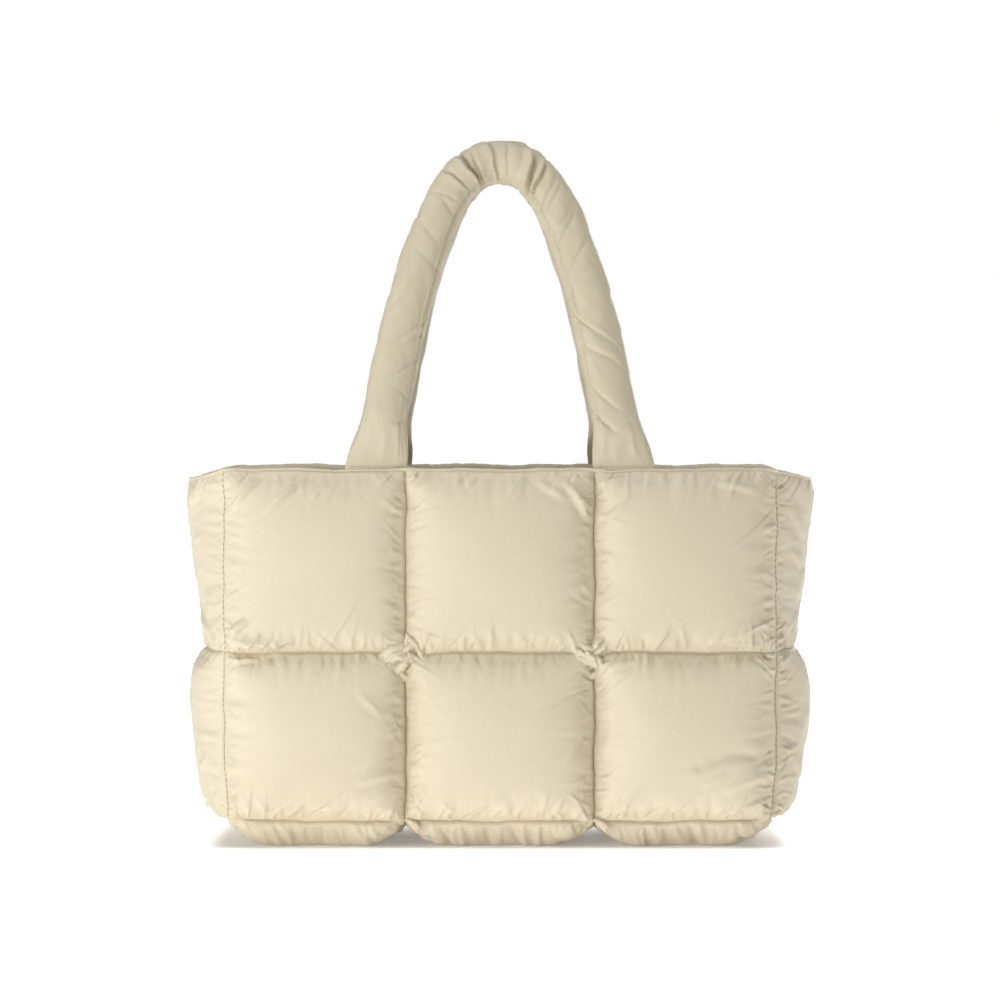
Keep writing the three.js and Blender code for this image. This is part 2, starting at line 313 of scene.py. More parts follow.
def makeNylon(name, look):
    material = bpy.data.materials.new(name)
    material.use_nodes = True
    nodes, links = material.node_tree.nodes, material.node_tree.links
    shader = nodes["Principled BSDF"]
    fillIn(shader, {
        "Sheen Weight": look["sheen"], "Sheen Roughness": look["sheenRoughness"],
        "Sheen Tint": (*look["sheenTint"], 1), "Specular IOR Level": look["specular"],
    })
    place = nodes.new("ShaderNodeTexCoord")

    def noiseAt(scale, detail, roughness=0.5):
        noise = nodes.new("ShaderNodeTexNoise")
        fillIn(noise, {"Scale": scale, "Detail": detail, "Roughness": roughness})
        links.new(place.outputs["Object"], noise.inputs["Vector"])
        return noise.outputs["Fac"]

    tone = nodes.new("ShaderNodeValToRGB")  # slow drift of the dye
    tone.color_ramp.elements[0].position = 0.3
    tone.color_ramp.elements[0].color = (*look["dark"], 1)
    tone.color_ramp.elements[1].position = 0.7
    tone.color_ramp.elements[1].color = (*look["light"], 1)
    links.new(noiseAt(look["dyeScale"], 3), tone.inputs["Fac"])
    links.new(tone.outputs["Color"], shader.inputs["Base Color"])

    least, most = look["roughness"] - look["unevenness"], look["roughness"] + look["unevenness"]
    gloss = remapped(material.node_tree, noiseAt(look["wearScale"], 5), least, most)
    links.new(gloss, shader.inputs["Roughness"])  # worn and crushed places shine unevenly

    weaveHeights = []
    for direction in ("X", "Z"):
        wave = nodes.new("ShaderNodeTexWave")
        wave.bands_direction = direction
        fillIn(wave, {"Scale": look["weaveScale"], "Distortion": 0.6, "Detail": 1})
        links.new(place.outputs["Object"], wave.inputs["Vector"])
        weaveHeights.append(wave.outputs["Fac"])
    weave = nodes.new("ShaderNodeMath")
    weave.operation = "MULTIPLY"
    links.new(weaveHeights[0], weave.inputs[0])
    links.new(weaveHeights[1], weave.inputs[1])

    normal = None
    for height, strength, distance in (
        (noiseAt(look["crinkleScale"], 6, 0.6), look["crinkle"], look["crinkleDepth"]),
        (noiseAt(look["fineScale"], 3), look["crinkle"] * look["fineShare"], look["fineDepth"]),
        (weave.outputs["Value"], look["weave"], look["weaveDepth"]),
    ):
        bump = nodes.new("ShaderNodeBump")
        fillIn(bump, {"Strength": strength, "Distance": distance})
        links.new(height, bump.inputs["Height"])
        if normal:
            links.new(normal, bump.inputs["Normal"])
        normal = bump.outputs["Normal"]
    links.new(normal, shader.inputs["Normal"])
    return material


shellLook = {
    "light": (0.66, 0.585, 0.435),
    "dark": (0.63, 0.555, 0.405),
    "sheen": 0.12,
    "specular": 0.35,
    "roughness": 0.52,
    "crinkle": 0.21,
    "crinkleScale": 95, "crinkleDepth": 0.0016,
    "fineShare": 0.6, "fineScale": 420, "fineDepth": 0.0004,
    "weave": 0.18, "weaveScale": 270, "weaveDepth": 0.0001,
    "dyeScale": 9, "wearScale": 45, "unevenness": 0.08,
    "sheenRoughness": 0.35, "sheenTint": (1.0, 0.97, 0.9),
}
# The handles are made of the shell's nylon; its dye is darkened here as painted shade
handleShadedLook = dict(shellLook, light=(0.57, 0.508, 0.372), dark=(0.54, 0.478, 0.342), crinkle=0.34)
liningLook = dict(shellLook, light=(0.60, 0.53, 0.39), dark=(0.57, 0.50, 0.36), sheen=0.05, crinkle=0.1)
threadLook = dict(shellLook, light=(0.54, 0.47, 0.34), dark=(0.50, 0.43, 0.30), sheen=0.0, crinkle=0.05)
shellNylon = makeNylon("shell_nylon", shellLook)
handleShadedNylon = makeNylon("handle_nylon_painted_shade", handleShadedLook)
liningNylon = makeNylon("lining_nylon", liningLook)
stitchThread = makeNylon("stitch_thread", threadLook)
print("made the materials")


# The rolled edge of the rim: out and up from the rim line, going over it and down inside
rimRoll = [
    (0.0011, -0.0014), (0.0016, -0.0002), (0.0011, 0.0010), (-0.0006, 0.0015), (-0.0026, 0.0013),
    (-0.0041, 0.0006), (-0.0049, -0.0008), (-0.0050, -0.0040), (-0.0046, -0.0090),
]

# The short tight folds beside each kind of seam, in metres: from one to the next, how far they run
# from the seam, height, width, how far they drift along it for each metre, and the spread of that
gatherLooks = {
    "aboveMid": (0.0040, 0.0120, 0.00125, 0.00095, 0.0, 0.40),
    "belowMid": (0.0046, 0.0095, 0.00080, 0.00100, 0.0, 0.40),
    "column": (0.0040, 0.0115, 0.00105, 0.00095, 0.25, 0.40),
    "side": (0.0046, 0.0105, 0.00150, 0.00110, 0.2, 0.45),
    "calmSide": (0.0060, 0.0100, 0.00050, 0.00120, 0.2, 0.40),
    "aboveBase": (0.0046, 0.0135, 0.00130, 0.00115, 0.25, 0.55),
    "rim": (0.0085, 0.0140, 0.00080, 0.00125, -0.6, 0.40),
    "underside": (0.0072, 0.0260, 0.00165, 0.00180, 0.45, 0.35),
}
gathering = {
    "firstSpot": (0.002, 0.005), "endGap": 0.002, "endFade": 0.004, "longest": 0.045, "lengthSpread": 0.5,
    "heightRange": (0.35, 1.35), "widthRange": (0.7, 1.5), "pitchRange": (0.5, 1.7), "turn": 6.0,
    "undercut": 0.45,
}


def addGathers(height, along, across, line, side, span, look, random):  # height: across by along
    pitch, usualLength, usualHeight, usualWidth, usualSlant, spread = look
    start, end = span
    spot = start + random.uniform(*gathering["firstSpot"])
    while spot < end - gathering["endGap"]:
        length = min(usualLength * random.lognormal(0, gathering["lengthSpread"]), gathering["longest"])
        slant = usualSlant + random.normal(0, spread)
        tall = usualHeight * random.uniform(*gathering["heightRange"]) * random.choice([1, 1, -1])
        wide = usualWidth * random.uniform(*gathering["widthRange"])
        turn = random.normal(0, gathering["turn"])
        distance = (across - line) * side
        near = np.nonzero((distance > 0) & (distance < length))[0]
        margin = 5 * wide + (abs(slant) + abs(turn) * length) * length
        beside = np.nonzero(np.abs(along - spot) < margin)[0]
        if len(near) and len(beside):
            out = distance[near][:, None]
            share = out / length
            centre = spot + slant * out + turn * out ** 2
            here = along[beside][None, :]
            t = (here - centre) / (wide * (0.55 + 0.9 * share))
            fade = 2.9 * np.sqrt(share) * (1 - share) ** 1.3
            ends = ease(here, start, start + gathering["endFade"])
            ends = ends * ease(-here, -end, gathering["endFade"] - end)
            fold = np.exp(-t ** 2) - gathering["undercut"] * np.tanh(t) * np.exp(-t ** 2 / 5)
            height[np.ix_(near, beside)] += tall * fade * fold * ends
        spot += pitch * random.uniform(*gathering["pitchRange"])


def wallGathers(u, v, lines, cornerLooks, seed):
    random = np.random.default_rng(seed)
    height = np.zeros((len(v), len(u)))
    turned = height.T
    for span in zip(lines, lines[1:]):
        for line, side, kind in (
            ("midSeam", 1, "aboveMid"), ("midSeam", -1, "belowMid"),
            ("baseSeam", 1, "aboveBase"), ("rim", -1, "rim"),
        ):
            addGathers(height, u, v, bagSize[line], side, span, gatherLooks[kind], random)
    for low, high in zip(rowLines, rowLines[1:]):
        for number, line in enumerate(lines):
            look = gatherLooks[{0: cornerLooks[0], len(lines) - 1: cornerLooks[1]}.get(number, "column")]
            if number > 0:
                addGathers(turned, v, u, line, -1, (low, high), look, random)
            if number < len(lines) - 1:
                addGathers(turned, v, u, line, 1, (low, high), look, random)
    return height


foldShape = {"step": 0.6, "stepReach": 2.2, "taper": 0.7}


def foldHeight(u, v, folds):  # ridges and valleys along short lines, from a table
    height = 0
    for u0, v0, u1, v1, tall, wide, bow in folds:
        du, dv = u1 - u0, v1 - v0
        length = math.hypot(du, dv)
        along = np.clip(((u - u0) * du + (v - v0) * dv) / length ** 2, 0, 1)
        bend = bow * np.sin(math.pi * along)
        nearU = u0 + along * du - dv / length * bend
        nearV = v0 + along * dv + du / length * bend
        away = ((u - nearU) * -dv + (v - nearV) * du) / length
        reach = np.hypot(u - nearU, v - nearV)
        taper = np.sin(math.pi * np.clip(0.12 + 0.88 * along, 0, 1)) ** foldShape["taper"]
        ridge = np.exp(-(reach / wide) ** 2)
        step = foldShape["step"] * np.tanh(away / wide)
        step = step * np.exp(-(reach / (foldShape["stepReach"] * wide)) ** 2)
        height = height + tall * taper * (ridge + step)
    return height


# Where a column seam crosses the middle seam, the spare fabric is bunched into a knot of folds.
# Each fold: from and to, in metres from the crossing, then how thick it is and how far it stands out
knotFolds = {
    "left": [
        (-0.0150, -0.0018, -0.0030, 0.0046, 0.0032, 0.0114),
        (-0.0135, -0.0050, -0.0010, 0.0010, 0.0028, 0.0124),
        (-0.0010, 0.0050, 0.0020, 0.0112, 0.0027, 0.0102),
        (0.0020, 0.0110, 0.0082, 0.0040, 0.0028, 0.0114),
        (0.0082, 0.0040, 0.0118, -0.0042, 0.0023, 0.0102),
        (-0.0120, -0.0068, -0.0045, -0.0125, 0.0028, 0.0102),
        (-0.0040, -0.0120, 0.0045, -0.0020, 0.0031, 0.0128),
        (0.0045, -0.0015, 0.0104, -0.0064, 0.0021, 0.0110),
        (-0.0085, -0.0052, 0.0000, -0.0020, 0.0027, 0.0130),
        (-0.0020, 0.0018, 0.0052, 0.0060, 0.0023, 0.0118),
        (0.0020, 0.0000, 0.0062, -0.0075, 0.0019, 0.0114),
        (-0.0010, -0.0125, 0.0010, -0.0190, 0.0016, 0.0074),
        (0.0125, -0.0015, 0.0190, 0.0055, 0.0014, 0.0084),
    ],
    "right": [
        (-0.0132, 0.0030, 0.0015, -0.0080, 0.0031, 0.0118),
        (-0.0125, -0.0020, -0.0030, -0.0088, 0.0025, 0.0106),
        (0.0110, 0.0090, 0.0010, -0.0005, 0.0028, 0.0114),
        (0.0050, 0.0112, -0.0010, 0.0024, 0.0023, 0.0106),
        (0.0028, -0.0025, 0.0064, -0.0088, 0.0022, 0.0118),
        (-0.0095, 0.0062, -0.0015, 0.0028, 0.0025, 0.0112),
        (-0.0100, 0.0094, -0.0030, 0.0076, 0.0018, 0.0088),
        (-0.0015, -0.0165, 0.0052, -0.0095, 0.0019, 0.0080),
        (0.0000, -0.0020, 0.0020, -0.0095, 0.0021, 0.0114),
        (-0.0050, 0.0008, 0.0010, -0.0045, 0.0025, 0.0130),
        (0.0090, -0.0030, 0.0170, -0.0075, 0.0016, 0.0084),
    ],
}
knotMound = {
    "height": 0.0070, "wide": 0.0165, "tall": 0.0150, "crease": 0.0007, "steepness": 2.1, "drift": 0.0006,
    "arch": 0.0016,
}


def knotHeight(u, v, crossing, folds):
    du, dv = u - crossing[0], v - crossing[1]
    driftU, driftV = waver(dv * 500, du * 300, 3), waver(du * 500, dv * 300, 6)
    du, dv = du + knotMound["drift"] * driftU, dv + knotMound["drift"] * driftV
    reach = np.hypot(du / knotMound["wide"], dv / knotMound["tall"])
    height = knotMound["height"] * (1 - reach ** 2) + knotMound["crease"] * waver(du * 900, dv * 900, 2)
    for u0, v0, u1, v1, thick, tall in folds:
        length = math.hypot(u1 - u0, v1 - v0)
        along = np.clip(((du - u0) * (u1 - u0) + (dv - v0) * (v1 - v0)) / length ** 2, 0, 1)
        away = np.hypot(du - u0 - along * (u1 - u0), dv - v0 - along * (v1 - v0)) / thick
        sides = knotMound["steepness"] * thick * (1 - np.sqrt(np.clip(1 - away ** 2, 0, 1)))
        tube = tall - knotMound["arch"] * (2 * along - 1) ** 2 - sides
        height = np.maximum(height, np.where(away < 1, tube, -1.0))
    return height


# Folds of the front, in metres: across and up from, across and up to, height, width, and how far
# the middle bows sideways
frontFolds = [
    (-0.186, 0.232, -0.168, 0.253, 0.0013, 0.0018, 0), (-0.178, 0.240, -0.164, 0.255, 0.0012, 0.0015, 0),
    (-0.160, 0.232, -0.140, 0.250, 0.0014, 0.0017, 0), (-0.152, 0.238, -0.136, 0.253, 0.0012, 0.0015, 0),
    (-0.128, 0.241, -0.117, 0.253, 0.0010, 0.0018, 0), (-0.184, 0.146, -0.172, 0.157, 0.0022, 0.0014, 0),
    (-0.176, 0.139, -0.164, 0.149, 0.0024, 0.0014, 0), (-0.166, 0.138, -0.158, 0.146, 0.0020, 0.0013, 0),
    (-0.182, 0.128, -0.166, 0.132, 0.0020, 0.0014, 0), (-0.186, 0.144, -0.152, 0.141, 0.0034, 0.0024, 0),
    (-0.176, 0.158, -0.186, 0.148, 0.0026, 0.0018, 0), (-0.160, 0.137, -0.142, 0.143, 0.0028, 0.0022, 0),
    (-0.096, 0.106, -0.080, 0.091, 0.0009, 0.0022, 0), (-0.092, 0.058, -0.072, 0.070, 0.0014, 0.0026, 0),
    (-0.094, 0.046, -0.072, 0.053, 0.0016, 0.0024, 0), (-0.086, 0.034, -0.070, 0.044, 0.0014, 0.0022, 0),
    (-0.184, 0.040, -0.172, 0.028, 0.0018, 0.0024, 0), (-0.166, 0.034, -0.160, 0.024, 0.0014, 0.0020, 0),
    (-0.060, 0.040, -0.054, 0.022, 0.0020, 0.0018, 0), (-0.040, 0.034, -0.031, 0.022, 0.0012, 0.0022, 0),
    (0.044, 0.250, 0.062, 0.230, 0.0020, 0.0024, 0), (0.028, 0.252, 0.044, 0.240, 0.0014, 0.0026, 0),
    (0.052, 0.240, 0.061, 0.226, 0.0014, 0.0020, 0), (0.086, 0.240, 0.070, 0.222, 0.0015, 0.0024, 0),
    (0.046, 0.062, 0.062, 0.080, 0.0013, 0.0026, 0), (0.138, 0.056, 0.180, 0.062, -0.0024, 0.0040, 0.006),
    (0.158, 0.040, 0.184, 0.050, 0.0020, 0.0028, 0.002), (0.142, 0.044, 0.156, 0.052, 0.0012, 0.0020, 0),
    (0.146, 0.142, 0.182, 0.158, 0.0018, 0.0026, -0.002), (0.154, 0.140, 0.186, 0.141, 0.0020, 0.0018, 0),
    (0.108, 0.140, 0.118, 0.154, 0.0015, 0.0020, 0), (0.092, 0.040, 0.080, 0.024, 0.0014, 0.0024, 0),
    (0.078, 0.124, 0.092, 0.131, 0.0013, 0.0020, 0), (0.150, 0.252, 0.176, 0.244, 0.0015, 0.0024, 0),
]


def mirroredFolds(folds):
    return [(-u0, v0, -u1, v1, *rest) for u0, v0, u1, v1, *rest in folds]


shellGrid = {
    "clothStep": 0.0022, "step": 0.0011, "closer": 0.42, "liningStep": 0.006, "liningPuff": 0.004,
    "seamCalm": 0.0022,  # so close to a seam no fold reaches its full height
}

panelLooks = {
    "front_panel": {
        "lines": columnLines, "rows": [(0.025, 0.85), (0.021, 0.9)], "side": "front", "seed": 3,
        "midLift": 0.0070, "corners": ("calmSide", "side"), "folds": frontFolds, "fill": 0.8,
    },
    "back_panel": {
        "lines": columnLines, "rows": [(0.025, 0.85), (0.021, 0.9)], "side": "back", "seed": 8,
        "midLift": 0.0070, "corners": ("side", "side"), "folds": mirroredFolds(frontFolds), "fill": 0.8,
    },
    "left_gusset": {
        "lines": depthLines, "rows": [(0.0205, 0.75), (0.005, 1.0)], "side": "left", "seed": 5,
        "midLift": 0.0020, "corners": ("side", "calmSide"), "fill": 0.7,
        "folds": [
            (-0.056, 0.252, -0.020, 0.228, 0.0019, 0.0036, 0),
            (0.046, 0.148, 0.018, 0.162, 0.0017, 0.0030, 0),
            (-0.052, 0.122, -0.032, 0.104, 0.0018, 0.0030, 0),
            (0.030, 0.250, 0.014, 0.226, 0.0014, 0.0032, 0),
            (0.052, 0.060, 0.028, 0.046, 0.0016, 0.0030, 0),
        ],
    },
    "right_gusset": {
        "lines": depthLines, "rows": [(0.0205, 0.75), (0.005, 1.0)], "side": "right", "seed": 12,
        "midLift": 0.0020, "corners": ("side", "side"), "fill": 0.7,
        "folds": [
            (0.054, 0.248, 0.024, 0.226, 0.0019, 0.0036, 0),
            (-0.056, 0.236, -0.030, 0.214, 0.0018, 0.0030, 0),
            (-0.054, 0.206, -0.028, 0.196, 0.0013, 0.0028, 0),
            (-0.050, 0.150, -0.022, 0.166, 0.0018, 0.0030, 0),
            (0.050, 0.118, 0.030, 0.100, 0.0018, 0.0030, 0),
            (-0.052, 0.058, -0.028, 0.044, 0.0016, 0.0030, 0),
        ],
    },
}

sidePlaces = {  # where a point of an upright wall is: across the wall, up, and out from its seams
    "front": lambda u, v, out: np.stack([u, -bagSize["halfDepth"] - out, v], -1),
    "back": lambda u, v, out: np.stack([-u, bagSize["halfDepth"] + out, v], -1),
    "right": lambda u, v, out: np.stack([bagSize["halfWidth"] + out, u, v], -1),
    "left": lambda u, v, out: np.stack([-bagSize["halfWidth"] - out, -u, v], -1),
}
sideOutward = {"front": (0, -1), "back": (0, 1), "right": (1, 0), "left": (-1, 0)}
clothDrop = -0.15  # how far down the push on the cloth leans
midReach = (0.010, 0.045)  # between these distances the lift of the middle seam runs out


def wallGrid(look, u, v):  # the puffed wall before its small folds
    puffs = np.array(look["rows"])
    uu, vv = np.meshgrid(u, v)
    _, shareU, fromU = locate(uu, look["lines"])
    row, shareV, fromV = locate(vv, rowLines)
    upwards = crown(shareV ** puffs[row, 1])
    nearMid = 1 - ease(np.abs(vv - bagSize["midSeam"]), *midReach)
    out = crown(shareU) * (puffs[row, 0] * upwards + look["midLift"] * nearMid * (1 - upwards))
    return uu, vv, out, fromU, fromV


def liningOf(look):
    wall, step = bagSize["wall"], shellGrid["liningStep"]
    u, v = np.meshgrid(*placesOn(look["lines"], rowLines, step))
    _, sideShare, _ = locate(u, look["lines"])
    _, upShare, _ = locate(v, rowLines)
    swell = shellGrid["liningPuff"] * (np.sin(math.pi * sideShare) * np.sin(math.pi * upShare)) ** 2
    ripple = 0.0007 * waver(u * 90, v * 70, look["seed"]) * ease(swell, 0, 0.002)
    place = sidePlaces[look["side"]]
    narrowed = u * (1 - wall / look["lines"][-1])
    raised = np.minimum(v + wall * 0.6, bagSize["rim"] - 0.004)
    return settle(place(narrowed, raised, -wall - swell - ripple))


def paintLining(piece, inner):  # the last faces of a piece are its inside
    piece.data.materials.append(liningNylon)
    for polygon in piece.data.polygons[-(inner.shape[0] - 1) * (inner.shape[1] - 1):]:
        polygon.material_index = 1


def makeWall(name, look):
    place = sidePlaces[look["side"]]
    coarseU, coarseV = placesOn(look["lines"], rowLines, shellGrid["clothStep"])
    u, v, out, fromU, fromV = wallGrid(look, coarseU, coarseV)
    pinned = onLines(u, look["lines"]) | onLines(v, rowLines)
    push = (*sideOutward[look["side"]], clothDrop)
    fromSeam = np.minimum(fromU, fromV)
    detail = clothDetail(name + "_cloth", settle(place(u, v, out)), pinned, fromSeam, push, look["seed"])

    fineU, fineV = placesOn(look["lines"], rowLines, shellGrid["step"], shellGrid["closer"])
    u, v, out, fromU, fromV = wallGrid(look, fineU, fineV)
    grid = settle(place(u, v, out)) + resampled(detail, coarseU, coarseV, fineU, fineV)
    lift = wallGathers(fineU, fineV, look["lines"], look["corners"], look["seed"])
    lift = (lift + foldHeight(u, v, look["folds"])) * ease(np.minimum(fromU, fromV), 0, shellGrid["seamCalm"])
    grid = grid + normalsOf(grid) * lift[..., None]

    if len(look["lines"]) > 2:
        facing = 1 if look["side"] == "back" else -1
        flat = settle(place(u, v, np.zeros_like(u)))
        out = (grid[..., 1] - flat[..., 1]) * facing
        for line, folds in zip(look["lines"][1:-1], (knotFolds["left"], knotFolds["right"])):
            out = np.maximum(out, knotHeight(u, v, (line, bagSize["midSeam"]), folds))
        grid[..., 1] = flat[..., 1] + out * facing

    rim = []
    for outwards, rise in rimRoll:
        widened = u[-1] * (1 + outwards / look["lines"][-1])
        rim.append(settle(place(widened, v[-1] + rise, np.full_like(u[-1], outwards))))
    grid = np.concatenate([grid, np.stack(rim)])
    inner = liningOf(look)
    piece = meshFrom(name + "_quilt", [
        (grid, gridFaces(*grid.shape[:2])), (inner, gridFaces(*inner.shape[:2], flip=True)),
    ], shellNylon)
    paintLining(piece, inner)
    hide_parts(name)
    print("made", piece.name, len(piece.data.polygons))


for panelName, panelLook in panelLooks.items():
    makeWall(panelName, panelLook)

baseLook = {
    "endRamp": 0.040, "endPower": 2.3, "endBulge": 0.0030, "sideRamp": 0.020, "sag": 0.007, "press": 0.0005,
    "seed": 17, "fill": 0.8, "columnRamp": 0.032, "frontBulge": 0.0048,
    "rest": 0.0012, "restDip": 0.0002,  # what comes lower than rest is pressed flat on the floor
    "innerWidth": 0.985, "innerDepth": 0.95,
}

# The loose ends of fabric that hang out where a column seam meets the base, from the crossing
tuft = {
    "path": [
        (0.0005, -0.0030, 0.0020), (0.0040, -0.0052, 0.0000),
        (0.0068, -0.0058, -0.0035), (0.0082, -0.0050, -0.0078),
    ],
    "radii": [0.0020, 0.0024, 0.0021, 0.0011], "rings": 16, "sides": 20,
}


def tuftAt(x):
    path, rings, sides = np.array(tuft["path"]), tuft["rings"], tuft["sides"]
    share = np.linspace(0, len(path) - 1, rings)
    centre = pointsAt(share, range(len(path)), path)
    narrowed = np.sin(np.linspace(0.5, math.pi - 0.25, rings)) ** 0.5
    radius = np.interp(share, range(len(path)), tuft["radii"]) * narrowed
    angle = np.linspace(0, 2 * math.pi, sides, endpoint=False)
    ring = 1 + 0.22 * np.sin(3 * angle)[None] * np.sin(share * 2.2)[:, None]
    sideways = radius[:, None] * ring * np.cos(angle) * 1.25
    outwards = radius[:, None] * ring * np.sin(angle)
    points = centre[:, None] + np.stack([sideways, outwards, 0 * outwards + 0.3 * sideways], -1)
    return points + [x, -bagSize["halfDepth"], bagSize["baseSeam"]], tubeFaces(rings, sides)


def baseSurface(u, v):
    uu, vv = np.meshgrid(u, v)
    column, _, fromU = locate(uu, columnLines)
    _, _, fromV = locate(vv, depthLines)
    atEnd = np.minimum(bagSize["halfWidth"] - np.abs(uu), baseLook["endRamp"])
    isEnd = (atEnd < baseLook["endRamp"]) & (column != 1)
    endDrop = 1 - np.clip(1 - atEnd / baseLook["endRamp"], 0, None) ** baseLook["endPower"]
    innerU = np.where(isEnd & (fromU == bagSize["halfWidth"] - np.abs(uu)), 1.0, fromU)
    columnDrop = 1 - np.clip(1 - innerU / baseLook["columnRamp"], 0, None) ** 2
    lengthwise = np.minimum(endDrop, 1) * columnDrop
    sideways = 1 - np.clip(1 - fromV / baseLook["sideRamp"], 0, None) ** 3
    fromEnd = ease(bagSize["halfWidth"] - np.abs(uu), 0, baseLook["columnRamp"])
    sag = baseLook["sag"] * (1 - (vv / bagSize["halfDepth"]) ** 2) * fromEnd * (1 - lengthwise)
    height = bagSize["baseSeam"] - (bagSize["baseSeam"] + baseLook["press"]) * lengthwise * sideways - sag
    bulge = baseLook["endBulge"] * np.sin(math.pi * np.clip(atEnd / 0.024, 0, 1) ** 0.55)
    x = uu + np.sign(uu) * bulge * np.sqrt(np.clip(1 - (vv / bagSize["halfDepth"]) ** 6, 0, 1))
    grid = settle(np.stack([x, vv, height], -1))
    below = np.clip(1 - height / bagSize["baseSeam"], 0, 1)
    nearFace = np.clip(1 - fromV / baseLook["sideRamp"], 0, 1)
    swell = np.sin(math.pi * below ** 0.6) * nearFace ** 0.5 * ease(fromU, 0, 0.02)
    grid[..., 1] += np.sign(vv) * baseLook["frontBulge"] * swell
    return uu, vv, grid, fromU, fromV


def makeBase():
    coarseU, coarseV = placesOn(columnLines, depthLines, shellGrid["clothStep"])
    u, v, grid, fromU, fromV = baseSurface(coarseU, coarseV)
    pinned = onLines(u, columnLines) | onLines(v, depthLines)
    fromSeam = np.minimum(fromU, fromV)
    detail = clothDetail("base_cloth", grid[::-1], pinned[::-1], fromSeam[::-1], (0, 0, -1), baseLook["seed"])
    fineU, fineV = placesOn(columnLines, depthLines, shellGrid["step"], shellGrid["closer"])
    u, v, grid, fromU, fromV = baseSurface(fineU, fineV)
    grid = grid + resampled(detail[::-1], coarseU, coarseV, fineU, fineV)
    random = np.random.default_rng(baseLook["seed"])
    height = np.zeros(u.shape)
    for low, high in zip(columnLines, columnLines[1:]):
        for line, side in ((depthLines[0], 1), (depthLines[1], -1)):
            addGathers(height, fineU, fineV, line, side, (low, high), gatherLooks["underside"], random)
    for number, line in enumerate(columnLines):
        for side in (-1, 1):
            if 0 <= number + side * 0.5 <= len(columnLines) - 1:
                addGathers(height.T, fineV, fineU, line, side, tuple(depthLines), gatherLooks["side"], random)
    height = height * ease(np.minimum(fromU, fromV), 0, shellGrid["seamCalm"])
    grid = (grid - normalsOf(grid) * height[..., None])[::-1]  # turned over, so that its faces look down
    low, rest = grid[..., 2], baseLook["rest"]
    pressed = rest * np.exp(np.minimum(0, (low - rest) / rest)) - baseLook["restDip"]
    grid[..., 2] = np.maximum(np.where(low < rest, pressed, low), 0)
    lu, lv = np.meshgrid(*placesOn(columnLines, depthLines, shellGrid["liningStep"]))
    _, sideShare, _ = locate(lu, columnLines)
    _, depthShare, _ = locate(lv, depthLines)
    swell = shellGrid["liningPuff"] * (np.sin(math.pi * sideShare) * np.sin(math.pi * depthShare)) ** 2
    floorHeight = bagSize["baseSeam"] + bagSize["wall"] + swell
    inner = settle(np.stack([lu * baseLook["innerWidth"], lv * baseLook["innerDepth"], floorHeight], -1))
    tufts = [tuftAt(line) for line in columnLines[1:-1]]
    tufts += [(points * [-1, -1, 1], faces) for points, faces in tufts]
    piece = meshFrom("base_panel_quilt", [
        (grid, gridFaces(*grid.shape[:2])), *tufts, (inner, gridFaces(*inner.shape[:2])),
    ], shellNylon)
    paintLining(piece, inner)
    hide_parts("base_panel")
    print("made", piece.name, len(piece.data.polygons))


makeBase()

handleLine = {
    "span": 0.171, "rise": 0.215, "arch": 2.48, "topSpacing": 0.033,
    "footWidth": 0.043, "footThickness": 0.005, "midWidth": 0.032, "topWidth": 0.029,
    "thickness": 0.027, "footRise": 0.040, "rings": 700, "sides": 90, "tuck": 0.003,
    "seamAngle": -48, "calm": 0.6, "calmReach": 0.75, "roundness": 0.92, "fill": 0.9,
    "lean": 1.3, "archRings": 1.4, "archReach": 0.45,
}

